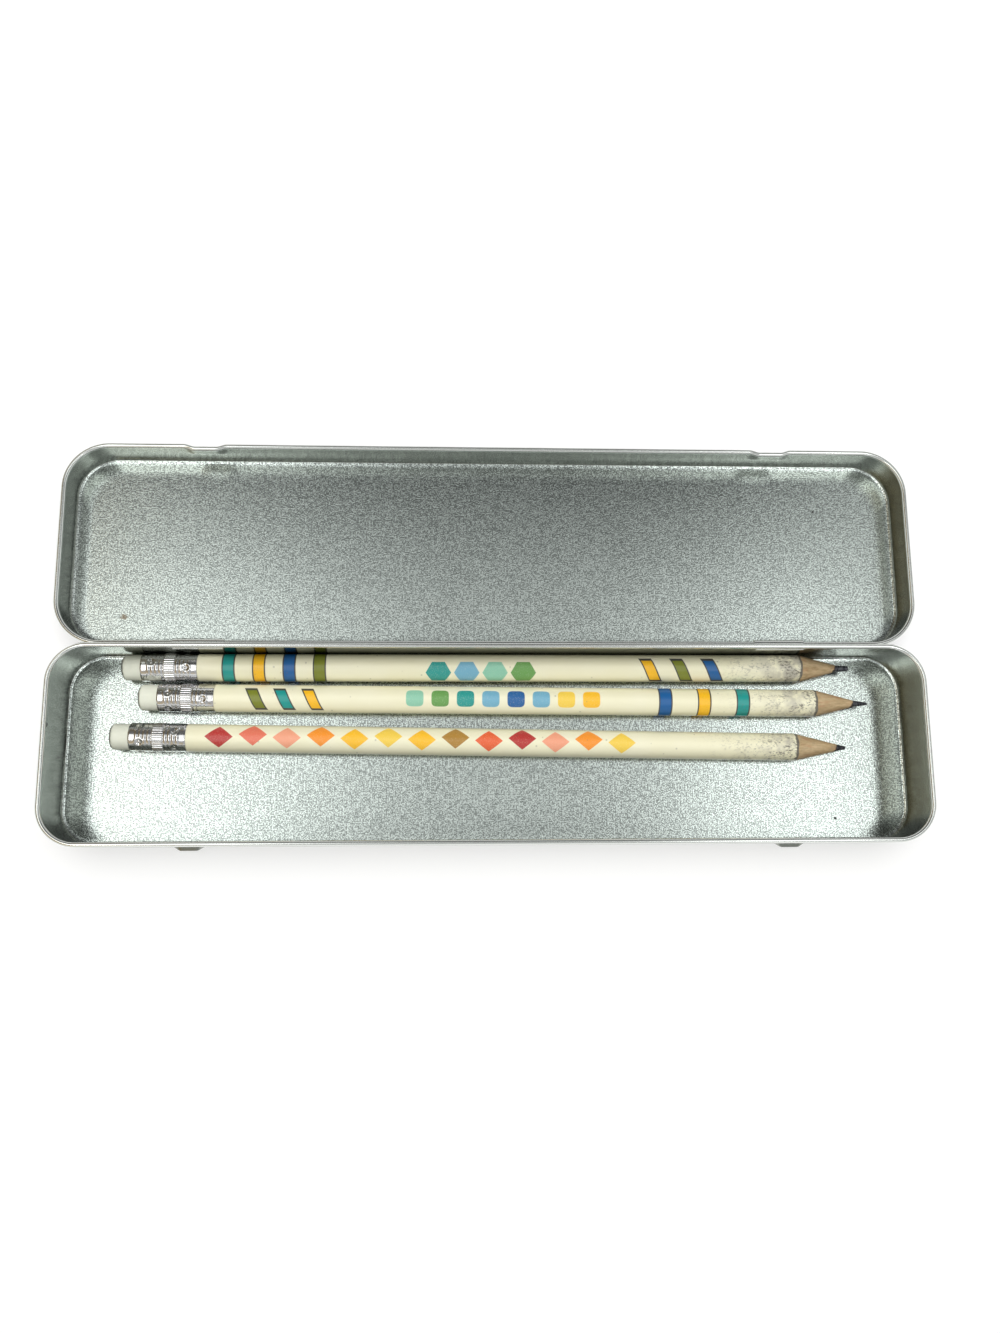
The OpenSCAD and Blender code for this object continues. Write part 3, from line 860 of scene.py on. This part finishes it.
@dataclass
class Tray(Shell):
    """The tray, with its rim rolled inward, hinge tongues and bumps."""

    length: float = 216.0 * MM
    depth: float = 49.0 * MM
    corner: float = 9.8 * MM
    height: float = 17.6 * MM
    catch_width: float = 7.7 * MM
    catch_ramp: float = 2.0 * MM
    catch_push: float = 0.9 * MM
    tongue_width: float = 12.6 * MM
    tongue_play: float = 0.1 * MM
    tongue_bend: float = 0.3 * MM
    tongue_foot: float = 0.35 * MM
    # How far below the hinge the tongues' bright rim tone, a painted highlight, starts.
    tongue_highlight_drop: float = 1.2 * MM
    curl_turn: float = 200.0
    window_play: float = 0.05 * MM
    window_drop: float = 0.45 * MM
    window_height: float = 5.6 * MM
    bump_gap: float = 0.15 * MM
    bump_height: float = 3.2 * MM
    bump_rise: float = 2.2 * MM
    bump_fall: float = 0.35 * MM
    bump_steps: int = 16

    def section(self) -> list[Point]:
        """Returns the section from the underside, up the wall, round the rim and back."""
        r, t = self.corner, self.sheet
        fold = (r - self.fold, self.fold)
        rim = (r - self.bead, self.height - self.bead)
        step = self.bump_height / self.bump_steps
        levels = [self.bump_top - self.bump_height + step * k for k in range(self.bump_steps + 1)]
        return [
            (r - self.fold - self.floor_lap, 0.0),
            *arc(fold, self.fold, -90, 0, self.fold_steps),
            *[(r, z) for z in levels],
            *arc(rim, self.bead, 0, 285, self.curl_steps),
            *arc(rim, self.bead - t, 285, 0, self.curl_steps),
            *[(r - t, z) for z in reversed(levels)],
            *arc(fold, self.fold - t, 0, -90, self.fold_steps),
            (r - self.fold - self.floor_lap, t),
        ]

    @property
    def bump_top(self) -> float:
        """The height of the bumps' upper ledge, just under the closed lid's rim."""
        return self.hinge[1] - self.bead - self.bump_gap

    def band(self, height: float) -> float:
        """Returns a bump's slope from below and its sharp ledge on top."""
        rise = (height - self.bump_top + self.bump_height) / self.bump_rise
        fall = (self.bump_top - height) / self.bump_fall
        return ease(rise) * max(0.0, min(1.0, fall))

    def tongue(self, x_mid: float) -> tuple[list[Spot], list[list[int]]]:
        """Returns the points and faces of one hinge tongue."""
        t = self.sheet
        hy, hz = self.hinge
        curl = self.bead + self.tongue_play + t / 2
        bend = t / 2 + self.tongue_bend
        mid = self.depth / 2 - t / 2
        corner = (mid + bend, hz + curl - bend)
        foot = corner[1] - self.tongue_foot
        end = 90.0 - self.curl_turn
        outline = [
            (mid + t / 2, foot),
            *arc(corner, bend - t / 2, 180, 90, 6),
            *arc((hy, hz), curl - t / 2, 90, end, 28),
            *arc((hy, hz), curl + t / 2, end, 90, 28),
            *arc(corner, bend + t / 2, 90, 180, 6),
            (mid - t / 2, foot),
        ]
        n = len(outline)
        sides = (x_mid - self.tongue_width / 2, x_mid + self.tongue_width / 2)
        points = [(x, y, z) for x in sides for y, z in outline]
        faces = [[i, n + i, n + (i + 1) % n, (i + 1) % n] for i in range(n)]
        for i in range(n // 2 - 1):
            faces.append([i, i + 1, n - 2 - i, n - 1 - i])
            faces.append([n + n - 1 - i, n + n - 2 - i, n + i + 1, n + i])
        return points, faces

    def build(self, finish: Tinplate) -> None:
        """Builds and dresses the tray and its tongues."""
        piece = self.sweep("tray_shell")
        low = self.hinge[1] + self.bead + self.tongue_play - self.window_drop
        wall = (self.depth / 2 - 3 * self.sheet, self.depth / 2 + 3 * self.sheet)
        self.cut(piece, self.tongue_width + 2 * self.window_play, wall, (low, low + self.window_height))
        shade(piece, finish.material())
        own(piece, "tray", "tray")
        tongues = [self.tongue(middle) for middle in (-self.cut_at, self.cut_at)]
        points = [point for part in tongues for point in part[0]]
        size = len(tongues[0][0])
        faces = tongues[0][1] + [[size + i for i in face] for face in tongues[1][1]]
        strips = new_piece("hinge_tongues", points, faces)
        # The tongues' curls, from a little below the hinge up, take the bright rim tone: a painted
        # highlight.
        shade(strips, Tinplate("tongue tinplate", self.hinge[1] - self.tongue_highlight_drop, self.floor()).material())
        own(strips, "tray")


@dataclass
class Lid(Shell):
    """The lid, with its rim rolled outward, slots and dents, drawn open."""

    length: float = 218.2 * MM
    depth: float = 51.2 * MM
    corner: float = 10.9 * MM
    catch_push: float = -0.65 * MM
    dent_height: float = 4.0 * MM
    dent_fade: float = 2.0 * MM
    level_step: float = 0.25 * MM
    level_count: int = 17
    slot_width: float = 13.4 * MM
    slot_low: float = 0.36 * MM
    slot_top: float = 2.15 * MM

    def section(self) -> list[Point]:
        """Returns the closed lid's section from under its top, round the rim and back."""
        r, t, top = self.corner, self.sheet, 2 * self.hinge[1]
        fold = (r - self.fold, top - self.fold)
        rim = (r - t + self.bead, self.hinge[1])
        levels = [self.hinge[1] + self.level_step * (k + 1) for k in range(self.level_count)]
        return [
            (r - self.fold - self.floor_lap, top - t),
            *arc(fold, self.fold - t, 90, 0, self.fold_steps),
            *[(r - t, z) for z in reversed(levels)],
            *arc(rim, self.bead, 180, 465, self.curl_steps),
            *arc(rim, self.bead - t, 465, 180, self.curl_steps),
            *[(r, z) for z in levels],
            *arc(fold, self.fold, 0, 90, self.fold_steps),
            (r - self.fold - self.floor_lap, top),
        ]

    def band(self, height: float) -> float:
        """Returns a dent's full depth at the rim, fading out up the wall."""
        return ease((self.hinge[1] + self.dent_height - height) / self.dent_fade)

    def build(self, finish: Tinplate) -> None:
        """Builds and dresses the lid, turned over about the hinge."""
        piece = self.sweep("lid_shell")
        hy, hz = self.hinge
        wall = (hy - self.bead - 2 * self.sheet, hy - self.bead + 2 * self.sheet)
        self.cut(piece, self.slot_width, wall, (hz + self.slot_low, hz + self.slot_top))
        over = Matrix.Translation((0, hy, hz)) @ Matrix.Rotation(math.pi, 4, "X")
        piece.data.transform(over @ Matrix.Translation((0, -hy, -hz)))
        shade(piece, finish.material())
        own(piece, "lid", "lid")


# The pencils


class FerruleRolling:
    """Geometry nodes that roll a ferrule: ring ridges, a toothed band and punched dimples."""

    OUTER = 0.86
    RETURN = (0.88, 0.98)
    CLOSE = 0.995
    ROWS = 170
    COLUMNS = 361
    DIMPLES = 5
    SHIFT = math.radians(24.0)
    BOWL = (0.30 * MM, 0.92 * MM)
    STUB = (0.0, 0.42 * MM)
    STUB_HEIGHT = 0.09 * MM
    SWELL = (0.78 * MM, 1.02 * MM, 1.08 * MM, 1.42 * MM)
    SWELL_HEIGHT = 0.06 * MM
    CALM = (1.05 * MM, 1.5 * MM)
    SOFT = 0.10 * MM
    LIP_LENGTH = 0.3 * MM
    LIP_DEPTH = 0.08 * MM

    def __init__(self) -> None:
        """Builds the node tree with its named sizes."""
        tree = bpy.data.node_groups.new("rolled ferrule", "GeometryNodeTree")
        self.graph = Graph(tree)
        tree.interface.new_socket("Geometry", in_out="OUTPUT", socket_type="NodeSocketGeometry")
        self.sizes = {
            "Length": 14.0 * MM,
            "Radius": 3.53 * MM,
            "Bore": 3.28 * MM,
            "Ring Pitch": 1.0 * MM,
            "Ring Width": 0.92 * MM,
            "Ring Height": 0.075 * MM,
            "Front Rings": 3.55 * MM,
            "Rear Rings": 10.6 * MM,
            "Band Start": 5.8 * MM,
            "Band Width": 2.7 * MM,
            "Tooth Count": 36.0,
            "Tooth Height": 0.12 * MM,
            "Dimple End": 2.7 * MM,
            "Dimple Depth": 0.20 * MM,
        }
        self.keys: dict[str, str] = {}
        for name, value in self.sizes.items():
            socket = tree.interface.new_socket(name, in_out="INPUT", socket_type="NodeSocketFloat")
            socket.default_value = value
            self.keys[name] = socket.identifier
        self.metal = tree.interface.new_socket("Metal", in_out="INPUT", socket_type="NodeSocketMaterial")
        self._fill()

    def _fill(self) -> None:
        """Adds the nodes that bend a grid into the ferrule."""
        graph = self.graph
        source = graph.node("NodeGroupInput", {}, {})
        size = {name: Field(graph, source.outputs[name]) for name in self.sizes}
        counts = {"Size X": 1.0, "Size Y": 1.0, "Vertices X": self.ROWS, "Vertices Y": self.COLUMNS}
        grid = graph.node("GeometryNodeMeshGrid", {}, counts)
        spot = graph.field("GeometryNodeInputPosition", {}, {})
        x, y, _ = graph.parts(spot)
        share, turn = x + 0.5, y + 0.5
        angle = turn * (2.0 * math.pi)
        forward = (share / self.OUTER).least(1.0)
        back = ((share - self.RETURN[0]) / (self.RETURN[1] - self.RETURN[0])).most(0.0).least(1.0)
        along = (forward - back) * size["Length"]
        inner = (share > (self.OUTER + self.RETURN[0]) / 2) * (share < self.CLOSE)
        outer = size["Radius"] + self._relief(size, along, angle)
        radius = inner * size["Bore"] + (1.0 - inner) * outer
        across, down = radius * angle.sin() * -1.0, radius * angle.cos() * -1.0
        point = graph.field("ShaderNodeCombineXYZ", {}, {0: along, 1: across, 2: down})
        bent = graph.node("GeometryNodeSetPosition", {}, {0: grid.outputs["Mesh"], "Position": point})
        joined = graph.node("GeometryNodeMergeByDistance", {}, {0: bent.outputs[0], "Distance": 1e-7})
        real = graph.node("GeometryNodeRealizeInstances", {}, {0: joined.outputs[0]})
        metal = {0: real.outputs[0], "Material": source.outputs["Metal"]}
        dressed = graph.node("GeometryNodeSetMaterial", {}, metal)
        graph.node("NodeGroupOutput", {}, {0: dressed.outputs[0]})

    def _relief(self, size: dict[str, Field], along: Field, angle: Field) -> Field:
        """Returns the height of the pattern above the plain tube."""
        start, end = size["Band Start"], size["Band Start"] + size["Band Width"]
        in_band = along.gate(start - self.SOFT, start + self.SOFT, end - self.SOFT, end + self.SOFT)
        groove = (angle * size["Tooth Count"]).cos() * 0.5 + 0.5
        teeth = groove.ramp(0.02, 0.42) * in_band * size["Tooth Height"]
        punched, calm = self._dimples(size, along, angle)
        rings = self._rings(size, along, size["Front Rings"]) + self._rings(size, along, size["Rear Rings"])
        lip = along.fall(0.0, self.LIP_LENGTH)
        lip = lip + along.ramp(size["Length"] - self.LIP_LENGTH, size["Length"])
        return rings * calm * size["Ring Height"] + teeth + punched - lip * self.LIP_DEPTH

    def _rings(self, size: dict[str, Field], along: Field, middle: Field) -> Field:
        """Returns four rounded ring ridges on both sides of a place, from 0 to 1."""
        steps = (along - middle) / size["Ring Pitch"]
        off = steps - steps.floor() - 0.5
        arch = (off * math.pi * size["Ring Pitch"] / size["Ring Width"]).cos().most(0.0)
        return arch * (abs(steps) < 2.0)

    def _dimples(self, size: dict[str, Field], along: Field, angle: Field) -> tuple[Field, Field]:
        """Returns the punched dimples' height and where the rings run undisturbed."""
        height: Number = 0.0
        calm: Number = 1.0
        step = 2.0 * math.pi / self.DIMPLES
        rows = ((size["Dimple End"], 0.0), (size["Length"] - size["Dimple End"], -self.SHIFT))
        for at, phase in rows:
            turns = (angle - phase) / step
            sideways = (turns - (turns + 0.5).floor()) * step * size["Radius"]
            forward = along - at
            away = (sideways * sideways + forward * forward) ** 0.5
            bowl = away.fall(*self.BOWL) * size["Dimple Depth"] * -1.0
            stub = away.fall(*self.STUB) * self.STUB_HEIGHT
            swell = away.gate(*self.SWELL) * self.SWELL_HEIGHT
            height = bowl + stub + swell + height
            calm = away.ramp(*self.CALM) * calm
        return height, calm

    def roll(
        self, name: str, metal: bpy.types.Material, sizes: dict[str, float], place: Matrix
    ) -> bpy.types.Object:
        """Makes one ferrule.

        Args:
            name: The object's name.
            metal: Its material.
            sizes: Sizes that differ from the tree's own, by socket name.
            place: Where the ferrule's eraser end goes, with +X along the pencil.

        Returns:
            A plain closed mesh.
        """
        piece = new_piece(name, [(0, 0, 0)], [])
        modifier = piece.modifiers.new("rolling", "NODES")
        modifier.node_group = self.graph.tree
        modifier[self.metal.identifier] = metal
        for key, value in sizes.items():
            modifier[self.keys[key]] = value
        settle(piece)
        piece.data.transform(place)
        return piece


@dataclass
class Pencil:
    """One round pencil: printed coat, ferrule and eraser rebuilt, and a finish for its wood."""

    name: str
    rows: tuple[Row, ...]
    axis: Vector
    roll: float
    eraser_shown: float = 4.9 * MM
    ferrule_length: float = 14.0 * MM
    ridge: float = 0.12 * MM
    eraser_edge: float = 1.1 * MM
    coat_skin: float = 0.1 * MM
    lead_radius: float = 0.9 * MM
    glue: float = 0.02 * MM
    chip: float = 0.12 * MM
    burr: float = 0.05 * MM
    edge_width: float = 0.5 * MM

    def __post_init__(self) -> None:
        """Works out the pencil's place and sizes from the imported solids."""
        self.body = f"{self.name}_pencil"
        low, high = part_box(f"{self.name}_coat")
        middle = (low + high) / 2
        self.radius = (high.z - low.z) / 2
        eraser_low, eraser_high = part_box(f"{self.name}_eraser")
        self.eraser_radius = (eraser_high.z - eraser_low.z) / 2
        ferrule_low, ferrule_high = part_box(f"{self.name}_ferrule")
        self.ferrule_radius = (ferrule_high.z - ferrule_low.z) / 2
        self.wood_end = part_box(f"{self.name}_upper_slat")[1].x
        start = middle + self.axis * ((eraser_low.x - middle.x) / self.axis.x)
        side = Vector((0.0, 0.0, 1.0)).cross(self.axis)
        turn = Matrix((self.axis, side, (0.0, 0.0, 1.0))).transposed().to_4x4()
        self.place = Matrix.Translation(start) @ turn
        self.barrel = self.eraser_shown + self.ferrule_length
        depth = self.radius - self.lead_radius
        lap = (self.wood_end - high.x) / self.axis.x - self.glue
        self.chamfer = self.coat_skin * lap / (depth - self.coat_skin)
        self.cut = (high.x - start.x) / self.axis.x - self.chamfer + self.glue

    def build(
        self, rolling: FerruleRolling, metal: bpy.types.Material, rubber: bpy.types.Material
    ) -> None:
        """Builds and dresses the coat, the ferrule and the eraser."""
        self._coat()
        self._ferrule(rolling, metal)
        self._eraser(rubber)

    def wood(self) -> bpy.types.Material:
        """Returns the finish of this pencil's wood."""
        tip = self.place.translation
        tip = tip + self.axis * ((self.wood_end - tip.x) / self.axis.x)
        return Cedar(f"{self.name} cedar", tuple(tip)).material()

    def _coat(self) -> None:
        """Builds the printed coat with its slightly uneven cut edge."""
        inner = self.radius - self.coat_skin
        start = self.barrel + self.glue
        outline = [
            (start, inner),
            (start, self.radius - self.burr),
            (start + self.burr, self.radius),
            (self.cut - self.edge_width, self.radius),
            (self.cut, self.radius),
            (self.cut + self.chamfer - self.glue, inner),
        ]

        def waver(index: int, angle: float) -> float:
            """Draws the cut edge back a little, more in some places than in others."""
            ragged = 1.0 + 0.5 * math.sin(3 * angle + self.roll) + 0.5 * math.sin(7 * angle)
            return -self.chip * ragged if index > 3 else 0.0

        piece = Lathe(outline, self.place, 128, waver).piece(f"{self.name}_printed_coat")
        finish = PrintedCoat(f"{self.name} print", self.rows, self.radius, start, self.cut)
        shade(piece, finish.material())
        own(piece, self.body, f"{self.name}_coat")

    def _ferrule(self, rolling: FerruleRolling, metal: bpy.types.Material) -> None:
        """Rolls the ferrule round the eraser and the wood."""
        turn = Matrix.Rotation(math.radians(self.roll), 4, "X")
        place = self.place @ Matrix.Translation((self.eraser_shown, 0, 0)) @ turn
        sizes = {"Length": self.ferrule_length, "Radius": self.ferrule_radius - self.ridge}
        piece = rolling.roll(f"{self.name}_rolled_ferrule", metal, sizes, place)
        shade(piece, metal, 60.0)
        own(piece, self.body, f"{self.name}_ferrule")

    def _eraser(self, rubber: bpy.types.Material) -> None:
        """Turns the eraser with its worn round edge."""
        radius, edge = self.eraser_radius, self.eraser_edge
        end = self.eraser_shown + self.ferrule_length / 2 - self.glue
        face = [(0.0, 0.0), (0.0, (radius - edge) / 2)]
        worn = arc((edge, radius - edge), edge, 180, 90, 12)
        outline = [*face, *worn, (end / 2, radius), (end, radius), (end, 0.0)]
        piece = Lathe(outline, self.place).piece(f"{self.name}_worn_eraser")
        shade(piece, rubber, 40.0)
        own(piece, self.body, f"{self.name}_eraser")


# The studio


@dataclass(frozen=True)
class Slope:
    """A smooth change in brightness between two places."""

    low: float
    high: float
    change: float

    def at(self, value: Field) -> Field:
        """Returns how much has changed at a place."""
        return value.ramp(self.low, self.high) * self.change


@dataclass(frozen=True)
class Sky:
    """The brightness round the tin, where 1 is white.

    Places are tangents to the right, to the left, ahead and to the front, for one unit up. An
    open ceiling is dimmest over the camera and brightens to both sides, to brown furniture on the
    left. Two bright panels hang toward the front. A room lies beyond, and a pale band all round.
    """

    middle: float = 0.76
    middle_ahead: tuple[Slope, ...] = (Slope(0.03, 0.20, -0.17), Slope(0.26, 0.37, -0.55))
    camera_shade: Slope = Slope(-0.04, 0.06, -0.7)
    front_strip: Slope = Slope(0.28, 0.40, 0.4)
    left: float = 1.8
    left_ahead: tuple[Slope, ...] = (Slope(0.08, 0.20, -0.95), Slope(0.25, 0.37, -0.75))
    left_side: Span = (0.02, 0.35)
    right: float = 2.2
    right_ahead: tuple[Slope, ...] = (Slope(0.08, 0.20, -1.35), Slope(0.24, 0.35, -0.80))
    right_side: Span = (0.19, 0.40)
    panel: float = 0.9
    panel_aside: tuple[float, ...] = (0.18, 0.24, 0.37, 0.42)
    panel_front: tuple[float, ...] = (0.08, 0.16, 0.55, 0.65)
    beyond: float = 0.52
    beyond_aside: Span = (0.40, 0.45)
    brown_left: Span = (0.385, 0.43)
    brown_shade: float = 0.22
    brown_height: Span = (0.35, 0.55)
    room: float = 0.50
    room_ahead: Slope = Slope(-0.74, -0.62, -0.35)
    open_ahead: tuple[float, ...] = (-0.66, -0.56, 0.42, 0.60)
    open_aside: Span = (0.75, 0.95)
    band: float = 0.92
    band_height: Span = (0.36, 0.54)
    neutral: Colour = (0.985, 1.0, 0.995)
    brown: Colour = (1.0, 0.80, 0.50)
    lowest: float = 0.05

    def glow(self, graph: Graph) -> tuple[Field, Field]:
        """Returns the sky's colour and its strength."""
        x, y, z = graph.parts(graph.field("ShaderNodeTexCoord", {}, {}, "Generated"))
        height = z.most(self.lowest)
        right, ahead = x / height, y / height
        left, front, aside = right * -1.0, ahead * -1.0, abs(right)
        middle = sum((slope.at(ahead) for slope in self.middle_ahead), self.middle)
        middle = middle * (self.camera_shade.at(front) + 1.0) + self.front_strip.at(front)
        on_left = sum((slope.at(ahead) for slope in self.left_ahead), self.left)
        on_right = sum((slope.at(ahead) for slope in self.right_ahead), self.right)
        ceiling = middle + on_left * left.ramp(*self.left_side) + on_right * right.ramp(*self.right_side)
        ceiling = ceiling + aside.gate(*self.panel_aside) * front.gate(*self.panel_front) * self.panel
        brown = left.ramp(*self.brown_left)
        beyond = self.beyond - brown * self.brown_shade
        ceiling = ceiling + (beyond - ceiling) * aside.ramp(*self.beyond_aside)
        room = self.room_ahead.at(ahead) + self.room
        opening = ahead.gate(*self.open_ahead) * aside.fall(*self.open_aside)
        glow = (ceiling - room) * opening + room
        glow = glow + (self.band - glow) * z.fall(*self.band_height)
        return graph.mix(brown * z.ramp(*self.brown_height), self.neutral, self.brown), glow


@dataclass
class Studio:
    """Camera, floor and light."""

    camera_at: Vector = Vector((-0.00985, -0.02627, 0.26846))
    tilt: Spot = (-10.115, 2.569, -0.082)
    focal_pixels: float = 1043.4
    photo_width: float = 1000.0
    sensor: float = 36.0
    nearest: float = 0.005
    half_floor: float = 1.5
    floor_at: float = -0.08 * MM
    paper: float = 0.50
    white: float = 1.04
    lamp_power: float = 3.8
    lamp_size: Span = (0.75, 0.50)
    lamp_at: Spot = (0.0, 0.22, 0.70)

    def camera(self) -> None:
        """Puts the camera where the photo was taken."""
        data = bpy.data.cameras.new("camera")
        data.sensor_fit = "HORIZONTAL"
        data.sensor_width = self.sensor
        data.lens = self.focal_pixels * self.sensor / self.photo_width
        data.clip_start = self.nearest
        camera = bpy.data.objects.new("camera", data)
        bpy.context.scene.collection.objects.link(camera)
        turn = Matrix.Identity(4)
        for axis, angle in zip("XYZ", self.tilt):
            turn = Matrix.Rotation(math.radians(angle), 4, axis) @ turn
        camera.matrix_world = Matrix.Translation(self.camera_at) @ turn.inverted()
        bpy.context.scene.camera = camera

    def floor(self) -> None:
        """Lays a pale floor under the tin, white where it is seen, that keeps the tin's shadow."""
        half, down = self.half_floor, self.floor_at
        corners = [(-half, -half, down), (half, -half, down), (half, half, down), (-half, half, down)]
        plane = new_piece("floor", corners, [(0, 1, 2, 3)])
        shader = Shader("pale floor")
        colour = (self.paper, self.paper, self.paper, 1.0)
        matt = shader.node("ShaderNodeBsdfDiffuse", {}, {"Color": colour})
        rays = shader.node("ShaderNodeLightPath", {}, {})
        names = ("Is Camera Ray", "Is Glossy Ray", "Is Transmission Ray")
        camera, glossy, through = (Field(shader, rays.outputs[name]) for name in names)
        seen = (camera + glossy + through).least(1.0)
        lift = shader.node("ShaderNodeEmission", {}, {"Strength": seen * (self.white - self.paper)})
        both = shader.node("ShaderNodeAddShader", {}, {0: matt.outputs[0], 1: lift.outputs[0]})
        shader.node("ShaderNodeOutputMaterial", {}, {"Surface": both.outputs[0]})
        plane.data.materials.append(shader.material)

    def light(self) -> None:
        """Gives the world the sky's light and shows colours as they are written."""
        world = bpy.data.worlds.new("studio")
        bpy.context.scene.world = world
        world.use_nodes = True
        graph = Graph(world.node_tree)
        tint, glow = Sky().glow(graph)
        lit = graph.node("ShaderNodeBackground", {}, {"Color": tint, "Strength": glow})
        graph.node("ShaderNodeOutputWorld", {}, {"Surface": lit.outputs[0]})
        bpy.context.scene.view_settings.view_transform = "Standard"

    def lamp(self) -> None:
        """Hangs a wide soft lamp over the tin, a little beyond it, that metal doesn't mirror."""
        data = bpy.data.lights.new("soft lamp", "AREA")
        data.shape = "RECTANGLE"
        data.size, data.size_y = self.lamp_size
        data.energy = self.lamp_power
        lamp = bpy.data.objects.new("soft lamp", data)
        bpy.context.scene.collection.objects.link(lamp)
        lamp.location = self.lamp_at
        lamp.visible_glossy = False
        lamp.visible_camera = False


# Prints and stains


LINE = 0.35 * MM
LOZENGES = (
    Ink.BRICK, Ink.CORAL, Ink.SALMON, Ink.ORANGE, Ink.AMBER, Ink.STRAW, Ink.AMBER,
    Ink.OCHRE, Ink.VERMILION, Ink.BRICK, Ink.SALMON, Ink.ORANGE, Ink.STRAW,
)
TILES = (Ink.MINT, Ink.LEAF, Ink.TEAL, Ink.SKY, Ink.BLUE, Ink.SKY, Ink.STRAW, Ink.AMBER)
CELLS = (Ink.TEAL, Ink.SKY, Ink.MINT, Ink.LEAF)
MIDDLE_BARS = (Ink.OLIVE, Ink.TEAL, Ink.AMBER)
MIDDLE_RINGS = (Ink.BLUE, Ink.AMBER, Ink.TEAL)
REAR_RINGS = (Ink.TEAL, Ink.AMBER, Ink.BLUE, Ink.OLIVE)
REAR_BARS = (Ink.AMBER, Ink.OLIVE, Ink.BLUE)
PRINTS = {
    "front": (
        Row(Motif.LOZENGE, 23 * MM, 8.4 * MM, LOZENGES, 3.5 * MM, 2.9 * MM, 0.52, zigzag=0.35 * MM),
    ),
    "middle": (
        Row(Motif.TILE, 66 * MM, 6.4 * MM, TILES, 2.2 * MM, 2.2 * MM, 0.5),
        Row(Motif.SLANT, 26 * MM, 7.0 * MM, MIDDLE_BARS, 1.2 * MM, 2.4 * MM, 0.47, edge=LINE),
        Row(Motif.RING, 128 * MM, 10.0 * MM, MIDDLE_RINGS, 1.4 * MM, edge=LINE),
    ),
    "rear": (
        Row(Motif.RING, 23 * MM, 7.6 * MM, REAR_RINGS, 1.3 * MM, edge=LINE),
        Row(Motif.HEXAGON, 76 * MM, 7.2 * MM, CELLS, 2.8 * MM, 2.8 * MM, 0.42),
        Row(Motif.SLANT, 130 * MM, 8.0 * MM, REAR_BARS, 1.3 * MM, 2.8 * MM, 0.44, edge=LINE),
    ),
}
ROLLS = {"front": 62.0, "middle": 23.0, "rear": 21.0}
BLACK, RUST = (0.035, 0.032, 0.03), (0.30, 0.19, 0.09)
TRAY_STAINS = (
    Stain((0.0888, -0.0181, 0.0003), 0.45 * MM, BLACK, 0.9),
    Stain((-0.1077, 0.0047, 0.0140), 0.8 * MM, BLACK, 0.7),
)
LID_STAINS = (
    Stain((-0.0951, 0.0345, 0.0003), 1.0 * MM, RUST, 0.6),
    Stain((0.0879, 0.0644, 0.0003), 0.4 * MM, BLACK, 0.8),
)


# The scene


def dress(frame: dict[str, Any], ending: str, material: bpy.types.Material) -> None:
    """Gives the CAD nodes whose names end alike one finish."""
    for name, node in frame["nodes"].items():
        if name.endswith(ending):
            node.material_slots[0].material = material


def main() -> None:
    """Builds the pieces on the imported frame, lights them and places the camera."""
    logging.basicConfig(level=logging.INFO, format="%(name)s: %(message)s")
    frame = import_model()
    joints = {joint["name"]: joint for joint in frame["joints"]}
    studio = Studio()
    studio.camera()
    hinge = tuple(joints["lid_hinge"]["pos_m"][1:])
    tray, lid = Tray(hinge), Lid(hinge)
    # The tinplate's bright rim tone, a painted highlight, starts at these heights.
    rim = tray.height - 2 * tray.bead
    tray.build(Tinplate("tray tinplate", rim, tray.floor(), stains=TRAY_STAINS))
    LOG.info("tray built")
    lid.build(Tinplate("lid tinplate", hinge[1] - lid.bead, lid.floor(2 * hinge[0]), stains=LID_STAINS))
    LOG.info("lid built")
    rolling = FerruleRolling()
    metal, rubber = RolledMetal().material(), EraserRubber().material()
    dress(frame, "_lead", Graphite().material())
    for name, rows in PRINTS.items():
        axis = Vector(joints[f"{name}_pencil_slide"]["axis"]).normalized()
        pencil = Pencil(name, rows, axis, ROLLS[name])
        pencil.build(rolling, metal, rubber)
        wood = pencil.wood()
        for half in ("upper", "lower"):
            dress(frame, f"{name}_{half}_slat", wood)
        LOG.info("%s pencil built", name)
    studio.floor()
    studio.light()
    studio.lamp()
    LOG.info("studio set")


if __name__ == "__main__":
    main()
